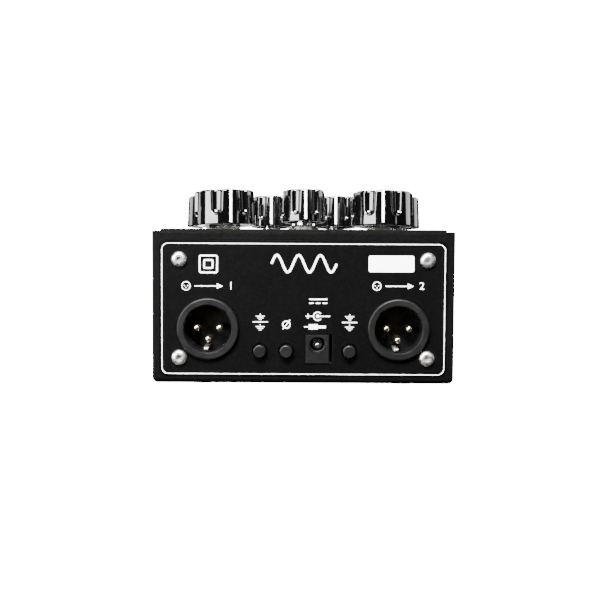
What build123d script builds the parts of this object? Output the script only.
from build123d import *

import os
from math import atan2, cos, degrees, radians, sin

# Direct injection box in pedal form: a sloped-top metal case with two male XLR outlets,
# a power inlet and three push switches at the rear, seven knobs and two footswitches on top.
#
# The connector face looks along -Y, the footswitch end is at +Y, and the rubber feet stand on Z = 0.

# ---------------------------------------------------------------- driving dimensions (mm, degrees)

# Case
WIDTH = 110.0
DEPTH = 145.0
REAR_HEIGHT = 56.4  # case underside to the top plate's upper face, at the rear edge
TOP_SLOPE = 5.4  # the top falls away towards the footswitches
WALL = 3.0
REAR_WALL = 4.0
FLOOR = 2.5
EDGE_RADIUS = 2.0  # along the bottom
CORNER_RADIUS = 0.8  # up the four corners
EDGE_BREAK = 0.25  # small chamfer on sheet edges that show
PLATE_THICKNESS = 1.7
PLATE_PROUD = 0.8  # the top plate stands this far above the side walls
PLATE_GAP = 0.1  # clearance round the top plate and the rear panel
PLATE_SETBACK = 0.15  # the plate stops this short of both end faces
BOSS = 8.5  # side of the square bosses that take the top plate's screws
BOSS_HEIGHT = 12.0

# Rear panel, measured from the case underside and the middle of the case
PANEL_BOTTOM = 2.55
PANEL_TOP = 52.1
PANEL_WIDTH = 104.8
PANEL_CORNER = 3.0
PANEL_THICKNESS = 1.5
PANEL_PROUD = 0.2
PANEL_SCREW_X = 45.1
PANEL_SCREW_HEIGHTS = (9.5, 45.3)

# M3 screws
SCREW_RADIUS = 1.5
BUTTON_HEAD_RADIUS = 2.85
BUTTON_HEAD_HEIGHT = 1.65
BUTTON_HEAD_ROUND = 1.4
SOCKET_ACROSS_FLATS = 2.0
SOCKET_DEPTH = 1.3
PANEL_SCREW_LENGTH = 6.0
FLAT_HEAD_RADIUS = 2.9
PLATE_SCREW_X = 47.4
PLATE_SCREW_INSET = 8.25
PLATE_SCREW_LENGTH = 9.0
BOARD_HEAD_RADIUS = 2.75
BOARD_HEAD_HEIGHT = 1.8
BOARD_HEAD_ROUND = 0.8

# Blank label on the rear panel
LABEL_X, LABEL_HEIGHT = 31.9, 44.0
LABEL_SIZE = (16.5, 6.0)
LABEL_CORNER = 0.8
LABEL_THICKNESS = 0.1

# XLR outlets
XLR_X = 34.7
XLR_HEIGHT = 20.05
XLR_RING_RADIUS = 11.25
XLR_CUP_RADIUS = 8.65
XLR_PROUD = 1.8
XLR_BODY_RADIUS = 12.0
XLR_BODY_DEPTH = 22.0
XLR_CUP_DEPTH = 15.0
XLR_RIM_RADIUS = 0.6
XLR_MOUTH_CHAMFER = 0.35
XLR_NOTCH = (1.0, 2.0, 4.0)  # keying notches: reach, width, depth
XLR_FOOT_WIDTH = 16.2
XLR_PIN_RADIUS = 1.2
XLR_PIN_ROUND = 0.9
XLR_PIN_CIRCLE = 4.15
XLR_PIN_SETBACK = 3.2  # from the ring's face to the pin tips
XLR_TAB_OFFSET = (-0.7, -7.55)  # from the middle of the cup
XLR_TAB = (1.7, 1.1)
XLR_TAB_ROUND = 0.4
XLR_TAB_SETBACK = 2.4

# Power inlet
INLET_X = 5.15
INLET_BOTTOM = 7.25
INLET_WIDTH = 8.9
INLET_HEIGHT = 10.9
INLET_DEPTH = 14.0
INLET_HOLE_X = 5.3
INLET_HOLE_HEIGHT = 14.0
INLET_HOLE_RADIUS = 3.15
INLET_HOLE_DEPTH = 9.5
INLET_CHAMFER = 0.3
INLET_PIN_RADIUS = 1.0
INLET_PIN_ROUND = 0.6
INLET_PIN_SETBACK = 1.5
INLET_COLLAR = (1.75, 1.35, 2.2)  # round the pin's root: outer radius, inner radius, length
INLET_COLLAR_BASE = 0.6
INLET_SLEEVE_WALL = 0.4
INLET_SLEEVE_LENGTH = 2.5
INLET_CUTOUT_LEFT, INLET_CUTOUT_RIGHT = 0.6, 10.5
INLET_CUTOUT_BOTTOM, INLET_CUTOUT_TOP = 7.0, 18.35

# Push switches
SWITCH_XS = {"left_ground_lift": -15.8, "polarity": -6.15, "right_ground_lift": 16.8}
SWITCH_HEIGHT = 12.0
SWITCH_CAP_RADIUS = 2.375
SWITCH_HOLE_RADIUS = 2.9
SWITCH_PROUD = 2.8
SWITCH_TRAVEL = 1.8
SWITCH_CAP_ROUND = 0.5
SWITCH_STEM_RADIUS = 1.5
SWITCH_STEM_SUNK = 4.5  # the stem enters its switch this far
SWITCH_BODY = 7.6
SWITCH_BODY_DEPTH = 12.0
END_CLEARANCE = 0.5  # left beyond the end of every travel

# Boards
BOARD_THICKNESS = 1.6
IO_BOARD_TOP = 7.25
IO_BOARD_WIDTH = 102.0
IO_BOARD_START, IO_BOARD_END = 4.6, 101.0
MAIN_BOARD_WIDTH = 94.0
MAIN_BOARD_START, MAIN_BOARD_END = 14.0, 104.0
STANDOFF_X = 46.0
STANDOFF_INSETS = (33.0, 95.0)
STANDOFF_ACROSS_FLATS = 5.5

# Components: along x, along y, height
TRANSFORMER = (21.0, 18.0, 16.5)
TRANSFORMER_POINTS = ((-18, 42), (18, 42))
TRANSFORMER_CORNER = 1.5
CAPACITOR_RADIUS = 3.15
CAPACITOR_HEIGHT = 11.0
CAPACITOR_ROUND = 0.5
CAPACITOR_POINTS = ((0, 33), (0, 42), (-9, 84), (0, 84), (9, 84), (-18, 62), (18, 62))
CHIP = (10.0, 6.5, 2.2)
CHIP_COLUMNS = 4
CHIP_COLUMN_SPACING = 22.0
CHIP_INSETS = (57.0, 83.0)
HEADER = (24.0, 6.0, 7.0)
RIBBON_INSET = 70.0
RIBBON = (20.0, 0.9)

# Potentiometers
POT_BODY = (9.6, 11.3, 8.5)
BUSHING_RADIUS = 3.5
BUSHING_HEIGHT = 6.4  # above the plate
SHAFT_RADIUS = 3.0
SHAFT_SUNK = 2.8  # the shaft enters its potentiometer this far
SHAFT_HOLE_DEPTH = 3.0
RUNNING_CLEARANCE = 0.05
POT_NUT_ACROSS_FLATS = 10.0
POT_NUT_THICKNESS = 2.0
POT_WASHER_RADIUS = 6.0
POT_WASHER_THICKNESS = 0.8
NUT_CHAMFER = 0.06  # as a share of the width across flats
NUT_CHAMFER_ANGLE = 60.0

# Knobs: x, distance from the rear edge along the plate, size, and how far the pointer is turned
# from straight back towards +X
KNOBS = {
    "knob_large_left": (-29.7, 20.0, "large", 13.7),
    "knob_centre": (0.0, 20.0, "small", 4.8),
    "knob_large_right": (29.7, 20.0, "large", -2.0),
    "knob_row_outer_left": (-37.95, 46.0, "small", 0.0),
    "knob_row_inner_left": (-12.65, 46.0, "small", 0.0),
    "knob_row_inner_right": (12.65, 46.0, "small", 0.0),
    "knob_row_outer_right": (37.95, 46.0, "small", 0.0),
}
# base radius, top radius, height, gap to the plate, flute start, flute depth, flute radius
KNOB_SIZES = {
    "small": (8.3, 7.9, 12.2, 3.9, 2.4, 1.1, 2.0),
    "large": (11.7, 11.3, 13.0, 2.5, 3.2, 1.4, 2.75),
}
FLUTES = 7
KNOB_RECESS_RADIUS = 6.6
KNOB_RECESS_DEPTH = 1.4
KNOB_CAP = 2.6  # solid thickness above the shaft
KNOB_BORE_GAP = 0.25  # round the shaft; the knob bears on the shaft's end
KNOB_BUSHING_GAP = 0.3
KNOB_RIM_RADIUS = 0.8
FLUTE_EDGE_RADIUS = 0.5

# Footswitches and indicators, on the top plate
FOOTSWITCH_X = 35.2
FOOTSWITCH_INSET = 118.0
FOOTSWITCH_BODY = 17.2
FOOTSWITCH_BODY_DEPTH = 15.0
FOOTSWITCH_LUG = (2.2, 0.8, 4.0)
FOOTSWITCH_LUG_SPACING = (5.0, 4.8)
FOOTSWITCH_BUSHING_RADIUS = 6.0
FOOTSWITCH_BUSHING_HEIGHT = 5.0
FOOTSWITCH_PLUNGER_RADIUS = 4.0
FOOTSWITCH_PLUNGER_HEIGHT = 11.5  # above the plate
FOOTSWITCH_PLUNGER_SUNK = 4.0
FOOTSWITCH_PLUNGER_ROUND = 2.4
FOOTSWITCH_TRAVEL = 3.0
FOOTSWITCH_NUT_ACROSS_FLATS = 14.0
FOOTSWITCH_NUT_THICKNESS = 2.4
FOOTSWITCH_WASHER_RADIUS = 8.6
FOOTSWITCH_WASHER_THICKNESS = 1.0
INDICATOR_INSET = 98.0
LENS_RADIUS = 2.5
LENS_HEIGHT = 1.9  # above the plate
LENS_SUNK = 4.5  # below the plate
LENS_ROUND = 1.6
BEZEL_RADIUS = 4.0
BEZEL_THICKNESS = 1.0
BEZEL_ROUND = 0.4
SPACER_WALL = 0.6

# Quarter-inch jacks in the side walls
JACK_INSET = 78.0
JACK_HEIGHT = 17.0
JACK_BORE_RADIUS = 3.2
JACK_BORE_LENGTH = 14.0
JACK_NOSE_RADIUS = 5.5
JACK_LENGTH = 30.0  # inwards from the side wall
JACK_WIDTH = 13.0
JACK_TOP = 25.0
JACK_CHAMBER = (16.0, 10.0)  # the contact chamber behind the bore: length and side
JACK_SPRING = (15.6, 3.0, 0.5)
JACK_SPRING_OFFSETS = (3.6, -4.1)  # undersides, above and below the bore's axis

# Rubber feet
FOOT_HEIGHT = 2.0
FOOT_RADIUS = 6.0
FOOT_X = 38.0
FOOT_INSET = 20.0
FOOT_ROUND = 0.5

# ---------------------------------------------------------------- reference planes

REAR_Y = (SWITCH_PROUD - DEPTH) / 2  # so that Y = 0 is the middle of the whole outline
FRONT_Y = REAR_Y + DEPTH
BASE = FOOT_HEIGHT
INNER_X = WIDTH / 2 - WALL

# Local x is X, local y is the height above the underside, and the normal points out of the rear.
REAR = Plane(origin=(0, REAR_Y, BASE), x_dir=(1, 0, 0), z_dir=(0, -1, 0))
# Local x is X, local y runs down the slope from the rear edge, and the normal leaves the plate.
SLOPE = radians(TOP_SLOPE)
TOP = Plane(origin=(0, REAR_Y, BASE + REAR_HEIGHT), x_dir=(1, 0, 0), z_dir=(0, sin(SLOPE), cos(SLOPE)))
PLATE_LENGTH = DEPTH / cos(SLOPE)
PLATE_AXIS = Axis(TOP.origin, TOP.z_dir)
UNDERSIDE = TOP.offset(-PLATE_THICKNESS)
FLOOR_TOP = Plane.XY.offset(BASE + FLOOR)
IO_TOP = Plane(origin=(0, REAR_Y, BASE + IO_BOARD_TOP))
MAIN_TOP = UNDERSIDE.offset(-POT_BODY[2])
PANEL_FACE = REAR.offset(PANEL_PROUD)

INLET_CUTOUT_CENTRE = (
    (INLET_CUTOUT_LEFT + INLET_CUTOUT_RIGHT) / 2,
    (INLET_CUTOUT_BOTTOM + INLET_CUTOUT_TOP) / 2,
)
PANEL_CENTRE = (0, (PANEL_BOTTOM + PANEL_TOP) / 2)
PLATE_SCREW_POINTS = [
    (x, inset)
    for x in (-PLATE_SCREW_X, PLATE_SCREW_X)
    for inset in (PLATE_SCREW_INSET, PLATE_LENGTH - PLATE_SCREW_INSET)
]
BOSS_X = INNER_X - BOSS / 2
BOSS_POINTS = [
    (x, inset)
    for x in (-BOSS_X, BOSS_X)
    for inset in (PLATE_SCREW_INSET, PLATE_LENGTH - PLATE_SCREW_INSET)
]
PANEL_SCREW_POINTS = [(x, z) for x in (-PANEL_SCREW_X, PANEL_SCREW_X) for z in PANEL_SCREW_HEIGHTS]
STANDOFF_POINTS = [(x, y) for x in (-STANDOFF_X, STANDOFF_X) for y in STANDOFF_INSETS]
POT_POINTS = [(x, inset) for x, inset, size, turned in KNOBS.values()]
FOOTSWITCH_POINTS = [(x, FOOTSWITCH_INSET) for x in (-FOOTSWITCH_X, FOOTSWITCH_X)]
INDICATOR_POINTS = [(x, INDICATOR_INSET) for x in (-FOOTSWITCH_X, FOOTSWITCH_X)]
XLR_POINTS = [(-XLR_X, XLR_HEIGHT), (XLR_X, XLR_HEIGHT)]
SWITCH_POINTS = [(x, SWITCH_HEIGHT) for x in SWITCH_XS.values()]

os.makedirs("parts", exist_ok=True)


def save(part, name):
    """Label a finished piece and write it under its own name."""
    part.label = name
    export_step(part, f"parts/{name}.step")


def on_plate(x, inset, height=0.0):
    """A plane on the sloping plate, at a point given across and down the slope."""
    return Plane(origin=TOP.from_local_coords((x, inset, height)), x_dir=TOP.x_dir, z_dir=TOP.z_dir)


# ---------------------------------------------------------------- case

# One folded and welded shell: floor, side walls, front wall and rear wall.
with BuildPart() as chassis_shell:
    side_drop = PLATE_PROUD / cos(SLOPE)
    front_drop = DEPTH * sin(SLOPE) / cos(SLOPE)
    with BuildSketch(Plane.YZ):
        with BuildLine():
            Polyline(
                (REAR_Y, BASE),
                (FRONT_Y, BASE),
                (FRONT_Y, BASE + REAR_HEIGHT - side_drop - front_drop),
                (REAR_Y, BASE + REAR_HEIGHT - side_drop),
                close=True,
            )
        make_face()
    extrude(amount=WIDTH / 2, both=True)
    fillet(chassis_shell.edges().filter_by(Axis.Z), radius=CORNER_RADIUS)
    fillet(chassis_shell.edges().group_by(Axis.Z)[0], radius=EDGE_RADIUS)
    # The hollow, open at the top
    with BuildSketch(FLOOR_TOP):
        with Locations((0, (REAR_Y + REAR_WALL + FRONT_Y - WALL) / 2)):
            Rectangle(2 * INNER_X, DEPTH - REAR_WALL - WALL)
    extrude(amount=REAR_HEIGHT, mode=Mode.SUBTRACT)
    # The end walls stop under the top plate
    with BuildSketch(UNDERSIDE):
        with Locations((0, PLATE_LENGTH / 2)):
            Rectangle(2 * INNER_X, PLATE_LENGTH + 2 * WALL)
    extrude(amount=REAR_HEIGHT, mode=Mode.SUBTRACT)
    # Bosses for the top plate's screws
    with BuildSketch(UNDERSIDE):
        with Locations(*BOSS_POINTS):
            Rectangle(BOSS, BOSS)
    extrude(amount=-BOSS_HEIGHT)
    with BuildSketch(UNDERSIDE):
        with Locations(*PLATE_SCREW_POINTS):
            Circle(SCREW_RADIUS)
    extrude(amount=-PLATE_SCREW_LENGTH, mode=Mode.SUBTRACT)
    # Shallow seat for the rear panel
    with BuildSketch(REAR):
        with Locations(PANEL_CENTRE):
            RectangleRounded(
                PANEL_WIDTH + 2 * PLATE_GAP, PANEL_TOP - PANEL_BOTTOM + 2 * PLATE_GAP, PANEL_CORNER
            )
    extrude(amount=-(PANEL_THICKNESS - PANEL_PROUD), mode=Mode.SUBTRACT)
    # Rear openings: outlets, inlet and push switches, then the panel screws' blind holes
    with BuildSketch(REAR):
        with Locations(*XLR_POINTS):
            Circle(XLR_RING_RADIUS + PLATE_GAP)
        with Locations(INLET_CUTOUT_CENTRE):
            Rectangle(INLET_CUTOUT_RIGHT - INLET_CUTOUT_LEFT, INLET_CUTOUT_TOP - INLET_CUTOUT_BOTTOM)
        with Locations(*SWITCH_POINTS):
            Circle(SWITCH_HOLE_RADIUS)
    extrude(amount=-REAR_WALL, mode=Mode.SUBTRACT)
    with BuildSketch(PANEL_FACE):
        with Locations(*PANEL_SCREW_POINTS):
            Circle(SCREW_RADIUS)
    extrude(amount=-PANEL_SCREW_LENGTH, mode=Mode.SUBTRACT)
    # Side openings for the jacks
    with BuildSketch(Plane.YZ):
        with Locations((REAR_Y + JACK_INSET, BASE + JACK_HEIGHT)):
            Circle(JACK_NOSE_RADIUS + PLATE_GAP)
    extrude(amount=WIDTH, both=True, mode=Mode.SUBTRACT)
save(chassis_shell.part, "chassis_shell")

with BuildPart() as top_plate:
    with BuildSketch(UNDERSIDE):
        with Locations((0, PLATE_LENGTH / 2)):
            Rectangle(2 * (INNER_X - PLATE_GAP), PLATE_LENGTH - 2 * PLATE_SETBACK)
    extrude(amount=PLATE_THICKNESS)
    chamfer(top_plate.edges().group_by(PLATE_AXIS)[-1], length=EDGE_BREAK)
    with BuildSketch(UNDERSIDE):
        with Locations(*POT_POINTS):
            Circle(BUSHING_RADIUS + PLATE_GAP)
        with Locations(*FOOTSWITCH_POINTS):
            Circle(FOOTSWITCH_BUSHING_RADIUS + PLATE_GAP)
        with Locations(*INDICATOR_POINTS):
            Circle(LENS_RADIUS + BEZEL_THICKNESS)
        with Locations(*PLATE_SCREW_POINTS):
            Circle(SCREW_RADIUS + PLATE_GAP)
    extrude(amount=PLATE_THICKNESS, mode=Mode.SUBTRACT)
    # Countersinks
    with BuildSketch(TOP):
        with Locations(*PLATE_SCREW_POINTS):
            Circle(FLAT_HEAD_RADIUS)
    extrude(amount=-(FLAT_HEAD_RADIUS - SCREW_RADIUS), taper=45, mode=Mode.SUBTRACT)
save(top_plate.part, "top_plate")

with BuildPart() as rear_panel:
    with BuildSketch(PANEL_FACE):
        with Locations(PANEL_CENTRE):
            RectangleRounded(PANEL_WIDTH, PANEL_TOP - PANEL_BOTTOM, PANEL_CORNER)
    extrude(amount=-PANEL_THICKNESS)
    chamfer(rear_panel.edges().group_by(Axis.Y)[0], length=EDGE_BREAK)
    with BuildSketch(PANEL_FACE):
        with Locations(*XLR_POINTS):
            Circle(XLR_RING_RADIUS + PLATE_GAP)
        with Locations(INLET_CUTOUT_CENTRE):
            Rectangle(INLET_CUTOUT_RIGHT - INLET_CUTOUT_LEFT, INLET_CUTOUT_TOP - INLET_CUTOUT_BOTTOM)
        with Locations(*SWITCH_POINTS):
            Circle(SWITCH_HOLE_RADIUS)
        with Locations(*PANEL_SCREW_POINTS):
            Circle(SCREW_RADIUS + PLATE_GAP)
    extrude(amount=-PANEL_THICKNESS, mode=Mode.SUBTRACT)
save(rear_panel.part, "rear_panel")

with BuildPart() as rear_panel_screws:
    with BuildSketch(PANEL_FACE):
        with Locations(*PANEL_SCREW_POINTS):
            Circle(BUTTON_HEAD_RADIUS)
    extrude(amount=BUTTON_HEAD_HEIGHT)
    fillet(rear_panel_screws.edges().group_by(Axis.Y)[0], radius=BUTTON_HEAD_ROUND)
    with BuildSketch(PANEL_FACE):
        with Locations(*PANEL_SCREW_POINTS):
            Circle(SCREW_RADIUS)
    extrude(amount=-PANEL_SCREW_LENGTH)
    with BuildSketch(PANEL_FACE.offset(BUTTON_HEAD_HEIGHT)):
        with Locations(*PANEL_SCREW_POINTS):
            RegularPolygon(SOCKET_ACROSS_FLATS / 2, 6, major_radius=False)
    extrude(amount=-SOCKET_DEPTH, mode=Mode.SUBTRACT)
save(rear_panel_screws.part, "rear_panel_screws")

with BuildPart() as top_plate_screws:
    with BuildSketch(TOP):
        with Locations(*PLATE_SCREW_POINTS):
            Circle(FLAT_HEAD_RADIUS)
    extrude(amount=-(FLAT_HEAD_RADIUS - SCREW_RADIUS), taper=45)
    with BuildSketch(TOP):
        with Locations(*PLATE_SCREW_POINTS):
            Circle(SCREW_RADIUS)
    extrude(amount=-(PLATE_SCREW_LENGTH + PLATE_THICKNESS - PLATE_GAP))
    with BuildSketch(TOP):
        with Locations(*PLATE_SCREW_POINTS):
            RegularPolygon(SOCKET_ACROSS_FLATS / 2, 6, major_radius=False)
    extrude(amount=-SOCKET_DEPTH, mode=Mode.SUBTRACT)
save(top_plate_screws.part, "top_plate_screws")

with BuildPart() as rubber_feet:
    with BuildSketch(Plane.XY):
        with Locations(
            *[(x, y) for x in (-FOOT_X, FOOT_X) for y in (REAR_Y + FOOT_INSET, FRONT_Y - FOOT_INSET)]
        ):
            Circle(FOOT_RADIUS)
    extrude(amount=FOOT_HEIGHT)
    fillet(rubber_feet.edges().group_by(Axis.Z)[0], radius=FOOT_ROUND)
save(rubber_feet.part, "rubber_feet")

with BuildPart() as serial_label:
    with BuildSketch(PANEL_FACE):
        with Locations((LABEL_X, LABEL_HEIGHT)):
            RectangleRounded(*LABEL_SIZE, LABEL_CORNER)
    extrude(amount=LABEL_THICKNESS)
save(serial_label.part, "serial_label")

# ---------------------------------------------------------------- XLR outlets


def xlr_housing(name, x):
    """A round shell with a cup for the pins, on a foot that stands on the board."""
    centre = (x, XLR_HEIGHT)
    with BuildPart() as housing:
        with BuildSketch(REAR.offset(-REAR_WALL - PLATE_GAP)):
            with Locations(centre):
                Circle(XLR_BODY_RADIUS)
        extrude(amount=-(XLR_BODY_DEPTH - REAR_WALL))
        with BuildSketch(REAR.offset(-REAR_WALL - PLATE_GAP)):
            with Locations((x, (IO_BOARD_TOP + XLR_HEIGHT) / 2)):
                Rectangle(XLR_FOOT_WIDTH, XLR_HEIGHT - IO_BOARD_TOP)
        extrude(amount=-(XLR_BODY_DEPTH - REAR_WALL))
        with BuildSketch(PANEL_FACE.offset(XLR_PROUD)):
            with Locations(centre):
                Circle(XLR_RING_RADIUS)
        extrude(amount=-(XLR_PROUD + PANEL_PROUD + REAR_WALL + PLATE_GAP))
        fillet(housing.edges().group_by(Axis.Y)[0], radius=XLR_RIM_RADIUS)
        with BuildSketch(PANEL_FACE.offset(XLR_PROUD)):
            with Locations(centre):
                Circle(XLR_CUP_RADIUS)
        extrude(amount=-XLR_CUP_DEPTH, mode=Mode.SUBTRACT)
        # Keying notches in the cup's mouth
        with BuildSketch(PANEL_FACE.offset(XLR_PROUD)):
            with Locations(centre):
                with PolarLocations(XLR_CUP_RADIUS, 2, start_angle=45, angular_range=90, endpoint=True):
                    Rectangle(*XLR_NOTCH[:2])
        extrude(amount=-XLR_NOTCH[2], mode=Mode.SUBTRACT)
        cup_rim = housing.edges().group_by(Axis.Y)[0].filter_by(GeomType.CIRCLE)
        chamfer(cup_rim.filter_by(lambda e: e.radius < XLR_CUP_RADIUS + PLATE_GAP), XLR_MOUTH_CHAMFER)
    save(housing.part, name)


xlr_housing("xlr_left_housing", -XLR_X)
xlr_housing("xlr_right_housing", XLR_X)


def xlr_pins(name, x):
    """Three contact pins with rounded tips, at nine, six and three o'clock."""
    length = XLR_CUP_DEPTH - XLR_PIN_SETBACK
    with BuildPart() as pins:
        with BuildSketch(PANEL_FACE.offset(XLR_PROUD - XLR_CUP_DEPTH)):
            with Locations((x, XLR_HEIGHT)):
                with PolarLocations(XLR_PIN_CIRCLE, 3, start_angle=180, angular_range=180, endpoint=True):
                    Circle(XLR_PIN_RADIUS)
        extrude(amount=length)
        fillet(pins.edges().group_by(Axis.Y)[0], radius=XLR_PIN_ROUND)
    save(pins.part, name)


xlr_pins("xlr_left_pins", -XLR_X)
xlr_pins("xlr_right_pins", XLR_X)

# Small sprung tabs that earth the mating shell, low in each cup.
with BuildPart() as xlr_ground_tabs:
    with BuildSketch(PANEL_FACE.offset(XLR_PROUD - XLR_CUP_DEPTH)):
        with Locations(*[(x + XLR_TAB_OFFSET[0], z + XLR_TAB_OFFSET[1]) for x, z in XLR_POINTS]):
            Rectangle(*XLR_TAB)
    extrude(amount=XLR_CUP_DEPTH - XLR_TAB_SETBACK)
    fillet(xlr_ground_tabs.edges().group_by(Axis.Y)[0], radius=XLR_TAB_ROUND)
save(xlr_ground_tabs.part, "xlr_ground_tabs")

# ---------------------------------------------------------------- power inlet

with BuildPart() as power_inlet_housing:
    with BuildSketch(REAR):
        with Locations((INLET_X, INLET_BOTTOM + INLET_HEIGHT / 2)):
            Rectangle(INLET_WIDTH, INLET_HEIGHT)
    extrude(amount=-INLET_DEPTH)
    chamfer(power_inlet_housing.edges().group_by(Axis.Y)[0], length=INLET_CHAMFER)
    with BuildSketch(REAR):
        with Locations((INLET_HOLE_X, INLET_HOLE_HEIGHT)):
            Circle(INLET_HOLE_RADIUS)
    extrude(amount=-INLET_HOLE_DEPTH, mode=Mode.SUBTRACT)
save(power_inlet_housing.part, "power_inlet_housing")

with BuildPart() as power_inlet_pin:
    with BuildSketch(REAR.offset(-INLET_HOLE_DEPTH)):
        with Locations((INLET_HOLE_X, INLET_HOLE_HEIGHT)):
            Circle(INLET_COLLAR[0])
            Circle(INLET_COLLAR[1], mode=Mode.SUBTRACT)
    extrude(amount=INLET_COLLAR[2])
    with BuildSketch(REAR.offset(-INLET_HOLE_DEPTH)):
        with Locations((INLET_HOLE_X, INLET_HOLE_HEIGHT)):
            Circle(INLET_COLLAR[0])
    extrude(amount=INLET_COLLAR_BASE)
    with BuildSketch(REAR.offset(-INLET_HOLE_DEPTH)):
        with Locations((INLET_HOLE_X, INLET_HOLE_HEIGHT)):
            Circle(INLET_PIN_RADIUS)
    extrude(amount=INLET_HOLE_DEPTH - INLET_PIN_SETBACK)
    fillet(power_inlet_pin.edges().group_by(Axis.Y)[0], radius=INLET_PIN_ROUND)
save(power_inlet_pin.part, "power_inlet_pin")

# The sleeve contact lines the back of the hole.
with BuildPart() as power_inlet_sleeve:
    with BuildSketch(REAR.offset(-INLET_HOLE_DEPTH)):
        with Locations((INLET_HOLE_X, INLET_HOLE_HEIGHT)):
            Circle(INLET_HOLE_RADIUS)
            Circle(INLET_HOLE_RADIUS - INLET_SLEEVE_WALL, mode=Mode.SUBTRACT)
    extrude(amount=INLET_SLEEVE_LENGTH)
save(power_inlet_sleeve.part, "power_inlet_sleeve")

# ---------------------------------------------------------------- push switches

SWITCH_FRONT = REAR_WALL + SWITCH_TRAVEL + END_CLEARANCE  # from the rear face to the bodies

with BuildPart() as push_switch_bodies:
    with BuildSketch(REAR.offset(-SWITCH_FRONT)):
        with Locations(*SWITCH_POINTS):
            Rectangle(SWITCH_BODY, 2 * (SWITCH_HEIGHT - IO_BOARD_TOP))
    extrude(amount=-SWITCH_BODY_DEPTH)
    with BuildSketch(REAR.offset(-SWITCH_FRONT)):
        with Locations(*SWITCH_POINTS):
            Circle(SWITCH_STEM_RADIUS + RUNNING_CLEARANCE)
    extrude(amount=-(SWITCH_STEM_SUNK + SWITCH_TRAVEL + END_CLEARANCE), mode=Mode.SUBTRACT)
save(push_switch_bodies.part, "push_switch_bodies")

for switch, switch_x in SWITCH_XS.items():
    with BuildPart() as button:
        with BuildSketch(REAR.offset(SWITCH_PROUD)):
            with Locations((switch_x, SWITCH_HEIGHT)):
                Circle(SWITCH_CAP_RADIUS)
        extrude(amount=-(SWITCH_PROUD + REAR_WALL))
        fillet(button.edges().group_by(Axis.Y)[0], radius=SWITCH_CAP_ROUND)
        with BuildSketch(REAR.offset(-REAR_WALL)):
            with Locations((switch_x, SWITCH_HEIGHT)):
                Circle(SWITCH_STEM_RADIUS)
        extrude(amount=-(SWITCH_FRONT - REAR_WALL + SWITCH_STEM_SUNK))
    save(button.part, f"button_{switch}")

# ---------------------------------------------------------------- boards

with BuildPart() as io_board:
    with BuildSketch(IO_TOP):
        with Locations((0, (IO_BOARD_START + IO_BOARD_END) / 2)):
            Rectangle(IO_BOARD_WIDTH, IO_BOARD_END - IO_BOARD_START)
        with Locations(*STANDOFF_POINTS):
            Circle(SCREW_RADIUS + PLATE_GAP, mode=Mode.SUBTRACT)
    extrude(amount=-BOARD_THICKNESS)
save(io_board.part, "io_board")

with BuildPart() as board_standoffs:
    with BuildSketch(FLOOR_TOP):
        with Locations(*[(x, REAR_Y + y) for x, y in STANDOFF_POINTS]):
            RegularPolygon(STANDOFF_ACROSS_FLATS / 2, 6, major_radius=False)
            Circle(SCREW_RADIUS, mode=Mode.SUBTRACT)
    extrude(amount=IO_BOARD_TOP - BOARD_THICKNESS - FLOOR)
save(board_standoffs.part, "board_standoffs")

with BuildPart() as board_screws:
    with BuildSketch(IO_TOP):
        with Locations(*STANDOFF_POINTS):
            Circle(BOARD_HEAD_RADIUS)
    extrude(amount=BOARD_HEAD_HEIGHT)
    fillet(board_screws.edges().group_by(Axis.Z)[-1], radius=BOARD_HEAD_ROUND)
    with BuildSketch(IO_TOP):
        with Locations(*STANDOFF_POINTS):
            Circle(SCREW_RADIUS)
    extrude(amount=-(IO_BOARD_TOP - FLOOR))
save(board_screws.part, "board_screws")

with BuildPart() as main_board:
    with BuildSketch(MAIN_TOP):
        with Locations((0, (MAIN_BOARD_START + MAIN_BOARD_END) / 2)):
            Rectangle(MAIN_BOARD_WIDTH, MAIN_BOARD_END - MAIN_BOARD_START)
    extrude(amount=-BOARD_THICKNESS)
save(main_board.part, "main_board")

with BuildPart() as output_transformers:
    with BuildSketch(IO_TOP):
        with Locations(*TRANSFORMER_POINTS):
            Rectangle(*TRANSFORMER[:2])
    extrude(amount=TRANSFORMER[2])
    fillet(output_transformers.edges().filter_by(Axis.Z), radius=TRANSFORMER_CORNER)
save(output_transformers.part, "output_transformers")

with BuildPart() as capacitors:
    with BuildSketch(IO_TOP):
        with Locations(*CAPACITOR_POINTS):
            Circle(CAPACITOR_RADIUS)
    extrude(amount=CAPACITOR_HEIGHT)
    fillet(capacitors.edges().group_by(Axis.Z)[-1], radius=CAPACITOR_ROUND)
save(capacitors.part, "capacitors")

with BuildPart() as circuit_chips:
    with BuildSketch(MAIN_TOP.offset(-BOARD_THICKNESS)):
        for inset in CHIP_INSETS:
            with Locations((0, inset)):
                with GridLocations(CHIP_COLUMN_SPACING, 1, CHIP_COLUMNS, 1):
                    Rectangle(*CHIP[:2])
    extrude(amount=-CHIP[2])
save(circuit_chips.part, "circuit_chips")

with BuildPart() as ribbon_headers:
    with BuildSketch(IO_TOP):
        with Locations((0, RIBBON_INSET)):
            Rectangle(*HEADER[:2])
    extrude(amount=HEADER[2])
    with BuildSketch(MAIN_TOP.offset(-BOARD_THICKNESS)):
        with Locations((0, RIBBON_INSET)):
            Rectangle(*HEADER[:2])
    extrude(amount=-HEADER[2])
save(ribbon_headers.part, "ribbon_headers")

with BuildPart() as ribbon_cable:
    ribbon_bottom = BASE + IO_BOARD_TOP + HEADER[2]
    ribbon_top = MAIN_TOP.from_local_coords((0, RIBBON_INSET, -BOARD_THICKNESS - HEADER[2])).Z
    with BuildSketch(Plane(origin=(0, REAR_Y + RIBBON_INSET, ribbon_bottom))):
        Rectangle(*RIBBON)
    extrude(amount=ribbon_top - ribbon_bottom)
save(ribbon_cable.part, "ribbon_cable")

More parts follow.
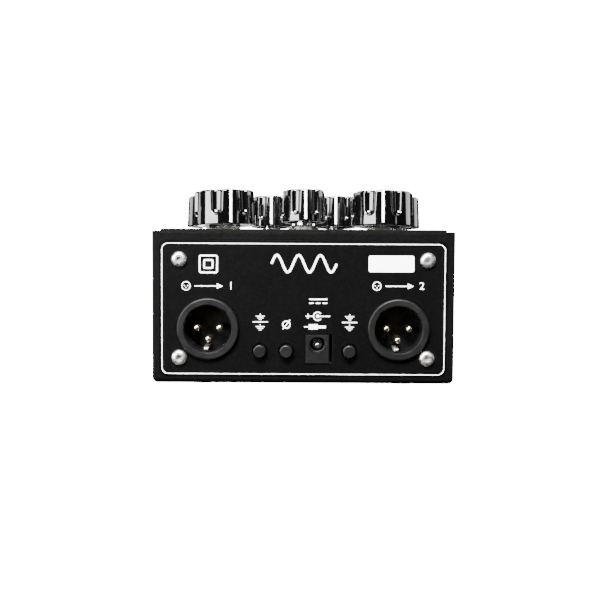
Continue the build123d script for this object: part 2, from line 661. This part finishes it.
# ---------------------------------------------------------------- quarter-inch jacks


def side_jack(name, side):
    """A board-mounted jack whose nose ends flush with the side wall; side is -1 or +1."""
    foot = (side * INNER_X, REAR_Y + JACK_INSET, BASE)
    wall = Plane(origin=foot, x_dir=(0, side, 0), z_dir=(side, 0, 0))
    with BuildPart() as jack:
        with BuildSketch(wall.offset(-PLATE_GAP)):
            with Locations((0, (IO_BOARD_TOP + JACK_TOP) / 2)):
                Rectangle(JACK_WIDTH, JACK_TOP - IO_BOARD_TOP)
        extrude(amount=-JACK_LENGTH)
        with BuildSketch(wall.offset(WALL)):
            with Locations((0, JACK_HEIGHT)):
                Circle(JACK_NOSE_RADIUS)
        extrude(amount=-(WALL + PLATE_GAP))
        with BuildSketch(wall.offset(WALL)):
            with Locations((0, JACK_HEIGHT)):
                Circle(JACK_BORE_RADIUS)
        extrude(amount=-JACK_BORE_LENGTH, mode=Mode.SUBTRACT)
        with BuildSketch(wall.offset(WALL - JACK_BORE_LENGTH)):
            with Locations((0, JACK_HEIGHT)):
                Rectangle(JACK_CHAMBER[1], JACK_CHAMBER[1])
        extrude(amount=-JACK_CHAMBER[0], mode=Mode.SUBTRACT)
    save(jack.part, name)


side_jack("input_jack_housing", -1)
side_jack("output_jack_housing", 1)

# Leaf springs that touch the plug, one above and one below it in each jack.
with BuildPart() as jack_contacts:
    spring_x = INNER_X + WALL - JACK_BORE_LENGTH - JACK_CHAMBER[0] / 2
    for spring_offset in JACK_SPRING_OFFSETS:
        with BuildSketch(Plane(origin=(0, REAR_Y + JACK_INSET, BASE + JACK_HEIGHT + spring_offset))):
            with Locations((-spring_x, 0), (spring_x, 0)):
                Rectangle(*JACK_SPRING[:2])
        extrude(amount=JACK_SPRING[2])
save(jack_contacts.part, "jack_contacts")

# ---------------------------------------------------------------- potentiometers

with BuildPart() as pot_bodies:
    with BuildSketch(UNDERSIDE):
        with Locations(*POT_POINTS):
            Rectangle(POT_BODY[0], POT_BODY[1])
    extrude(amount=-POT_BODY[2])
    with BuildSketch(UNDERSIDE):
        with Locations(*POT_POINTS):
            Circle(SHAFT_RADIUS + RUNNING_CLEARANCE)
    extrude(amount=-SHAFT_HOLE_DEPTH, mode=Mode.SUBTRACT)
save(pot_bodies.part, "pot_bodies")

with BuildPart() as pot_bushings:
    with BuildSketch(UNDERSIDE):
        with Locations(*POT_POINTS):
            Circle(BUSHING_RADIUS)
            Circle(SHAFT_RADIUS + RUNNING_CLEARANCE, mode=Mode.SUBTRACT)
    extrude(amount=PLATE_THICKNESS + BUSHING_HEIGHT)
save(pot_bushings.part, "pot_bushings")

with BuildPart() as pot_washers:
    with BuildSketch(TOP):
        with Locations(*POT_POINTS):
            Circle(POT_WASHER_RADIUS)
            Circle(BUSHING_RADIUS, mode=Mode.SUBTRACT)
    extrude(amount=POT_WASHER_THICKNESS)
save(pot_washers.part, "pot_washers")


def nuts(name, points, seat, across_flats, bore_radius, thickness):
    """Hexagon nuts on the plate, their corners rounded off by a chamfered blank."""
    with BuildPart() as blanks:
        with BuildSketch(TOP.offset(seat)):
            with Locations(*points):
                Circle(across_flats / 3**0.5)
        extrude(amount=thickness)
        top_edges = blanks.edges().group_by(PLATE_AXIS)[-1]
        chamfer(top_edges, length=NUT_CHAMFER * across_flats, angle=NUT_CHAMFER_ANGLE)
    with BuildPart() as hexes:
        with BuildSketch(TOP.offset(seat)):
            with Locations(*points):
                RegularPolygon(across_flats / 2, 6, major_radius=False)
                Circle(bore_radius, mode=Mode.SUBTRACT)
        extrude(amount=thickness)
        add(blanks.part, mode=Mode.INTERSECT)
    save(hexes.part, name)


nuts(
    "pot_nuts",
    POT_POINTS,
    POT_WASHER_THICKNESS,
    POT_NUT_ACROSS_FLATS,
    BUSHING_RADIUS,
    POT_NUT_THICKNESS,
)

# ---------------------------------------------------------------- knobs and their shafts


def knob_blank(size):
    """A drafted knob with ball-ended flutes round its side, hollow underneath for the nut.

    It stands upright on the XY plane, its pointer's land towards -Y.
    """
    base_radius, top_radius, height, gap, flute_start, flute_depth, flute_radius = KNOB_SIZES[size]
    draft = degrees(atan2(base_radius - top_radius, height))
    flute_centre = (base_radius + top_radius) / 2 - flute_depth + flute_radius
    shrink = (base_radius - top_radius) / 2
    ball_height = flute_start + flute_radius - shrink
    with BuildPart() as body:
        with BuildSketch(Plane.XY):
            Circle(base_radius)
        extrude(amount=height, taper=draft)
        fillet(body.edges().group_by(Axis.Z)[0], radius=KNOB_RIM_RADIUS / 2)
        for flute in range(FLUTES):
            # The pointer lies on the land between the first and the last flute
            angle = radians((flute + 0.5) * 360 / FLUTES - 90)
            with Locations((flute_centre * cos(angle), flute_centre * sin(angle), ball_height)):
                Cone(
                    flute_radius - shrink,
                    flute_radius + shrink,
                    height - ball_height,
                    align=(Align.CENTER, Align.CENTER, Align.MIN),
                    mode=Mode.SUBTRACT,
                )
                Sphere(flute_radius - shrink, mode=Mode.SUBTRACT)
        upright = body.edges().filter_by(lambda e: e.bounding_box().size.Z > height / 2)
        fillet(upright.filter_by(GeomType.LINE, reverse=True), radius=FLUTE_EDGE_RADIUS)
        fillet(body.edges().group_by(Axis.Z)[-1], radius=KNOB_RIM_RADIUS)
        # Underside: recess for the nut, clearance for the bushing, bore for the shaft
        with BuildSketch(Plane.XY):
            Circle(KNOB_RECESS_RADIUS)
        extrude(amount=KNOB_RECESS_DEPTH, mode=Mode.SUBTRACT)
        with BuildSketch(Plane.XY):
            Circle(BUSHING_RADIUS + KNOB_BUSHING_GAP)
        extrude(amount=BUSHING_HEIGHT - gap + END_CLEARANCE, mode=Mode.SUBTRACT)
        with BuildSketch(Plane.XY):
            Circle(SHAFT_RADIUS + KNOB_BORE_GAP)
        extrude(amount=height - KNOB_CAP, mode=Mode.SUBTRACT)
    return body.part


knob_blanks = {size: knob_blank(size) for size in KNOB_SIZES}

for knob_name, (knob_x, knob_inset, knob_size, turned) in KNOBS.items():
    knob_height, knob_gap = KNOB_SIZES[knob_size][2:4]
    seat = on_plate(knob_x, knob_inset, knob_gap).rotated((0, 0, turned))
    save(knob_blanks[knob_size].moved(seat.location), knob_name)

    # A plain shaft from inside the potentiometer to the top of the knob's bore
    shaft_foot = PLATE_THICKNESS + SHAFT_SUNK
    with BuildPart() as shaft:
        with BuildSketch(on_plate(knob_x, knob_inset, -shaft_foot)):
            Circle(SHAFT_RADIUS)
        extrude(amount=shaft_foot + knob_gap + knob_height - KNOB_CAP)
    save(shaft.part, knob_name.replace("knob", "shaft"))

# ---------------------------------------------------------------- footswitches

with BuildPart() as footswitch_bodies:
    with BuildSketch(UNDERSIDE):
        with Locations(*FOOTSWITCH_POINTS):
            Rectangle(FOOTSWITCH_BODY, FOOTSWITCH_BODY)
    extrude(amount=-FOOTSWITCH_BODY_DEPTH)
    with BuildSketch(UNDERSIDE.offset(-FOOTSWITCH_BODY_DEPTH)):
        with Locations(*FOOTSWITCH_POINTS):
            with GridLocations(*FOOTSWITCH_LUG_SPACING, 3, 3):
                Rectangle(*FOOTSWITCH_LUG[:2])
    extrude(amount=-FOOTSWITCH_LUG[2])
    with BuildSketch(UNDERSIDE):
        with Locations(*FOOTSWITCH_POINTS):
            Circle(FOOTSWITCH_PLUNGER_RADIUS + RUNNING_CLEARANCE)
    extrude(amount=-(FOOTSWITCH_PLUNGER_SUNK + FOOTSWITCH_TRAVEL + END_CLEARANCE), mode=Mode.SUBTRACT)
save(footswitch_bodies.part, "footswitch_bodies")

with BuildPart() as footswitch_bushings:
    with BuildSketch(UNDERSIDE):
        with Locations(*FOOTSWITCH_POINTS):
            Circle(FOOTSWITCH_BUSHING_RADIUS)
            Circle(FOOTSWITCH_PLUNGER_RADIUS + RUNNING_CLEARANCE, mode=Mode.SUBTRACT)
    extrude(amount=PLATE_THICKNESS + FOOTSWITCH_BUSHING_HEIGHT)
save(footswitch_bushings.part, "footswitch_bushings")

with BuildPart() as footswitch_washers:
    with BuildSketch(TOP):
        with Locations(*FOOTSWITCH_POINTS):
            Circle(FOOTSWITCH_WASHER_RADIUS)
            Circle(FOOTSWITCH_BUSHING_RADIUS, mode=Mode.SUBTRACT)
    extrude(amount=FOOTSWITCH_WASHER_THICKNESS)
save(footswitch_washers.part, "footswitch_washers")

nuts(
    "footswitch_nuts",
    FOOTSWITCH_POINTS,
    FOOTSWITCH_WASHER_THICKNESS,
    FOOTSWITCH_NUT_ACROSS_FLATS,
    FOOTSWITCH_BUSHING_RADIUS,
    FOOTSWITCH_NUT_THICKNESS,
)

for side_name, side_x in (("left", -FOOTSWITCH_X), ("right", FOOTSWITCH_X)):
    with BuildPart() as plunger:
        plunger_foot = PLATE_THICKNESS + FOOTSWITCH_PLUNGER_SUNK
        with BuildSketch(on_plate(side_x, FOOTSWITCH_INSET, -plunger_foot)):
            Circle(FOOTSWITCH_PLUNGER_RADIUS)
        extrude(amount=plunger_foot + FOOTSWITCH_PLUNGER_HEIGHT)
        fillet(plunger.edges().group_by(PLATE_AXIS)[-1], radius=FOOTSWITCH_PLUNGER_ROUND)
    save(plunger.part, f"footswitch_plunger_{side_name}")

# ---------------------------------------------------------------- indicators

with BuildPart() as indicator_lenses:
    with BuildSketch(UNDERSIDE.offset(-LENS_SUNK)):
        with Locations(*INDICATOR_POINTS):
            Circle(LENS_RADIUS)
    extrude(amount=LENS_SUNK + PLATE_THICKNESS + LENS_HEIGHT)
    fillet(indicator_lenses.edges().group_by(PLATE_AXIS)[-1], radius=LENS_ROUND)
save(indicator_lenses.part, "indicator_lenses")

with BuildPart() as indicator_bezels:
    with BuildSketch(TOP):
        with Locations(*INDICATOR_POINTS):
            Circle(BEZEL_RADIUS)
    extrude(amount=BEZEL_THICKNESS)
    fillet(indicator_bezels.edges().group_by(PLATE_AXIS)[-1], radius=BEZEL_ROUND)
    with BuildSketch(UNDERSIDE):
        with Locations(*INDICATOR_POINTS):
            Circle(LENS_RADIUS + BEZEL_THICKNESS)
    extrude(amount=PLATE_THICKNESS)
    with BuildSketch(UNDERSIDE):
        with Locations(*INDICATOR_POINTS):
            Circle(LENS_RADIUS)
    extrude(amount=PLATE_THICKNESS + 2 * BEZEL_THICKNESS, mode=Mode.SUBTRACT)
save(indicator_bezels.part, "indicator_bezels")

with BuildPart() as indicator_spacers:
    with BuildSketch(MAIN_TOP):
        with Locations(*INDICATOR_POINTS):
            Circle(LENS_RADIUS + SPACER_WALL)
    extrude(amount=POT_BODY[2] - LENS_SUNK)
save(indicator_spacers.part, "indicator_spacers")
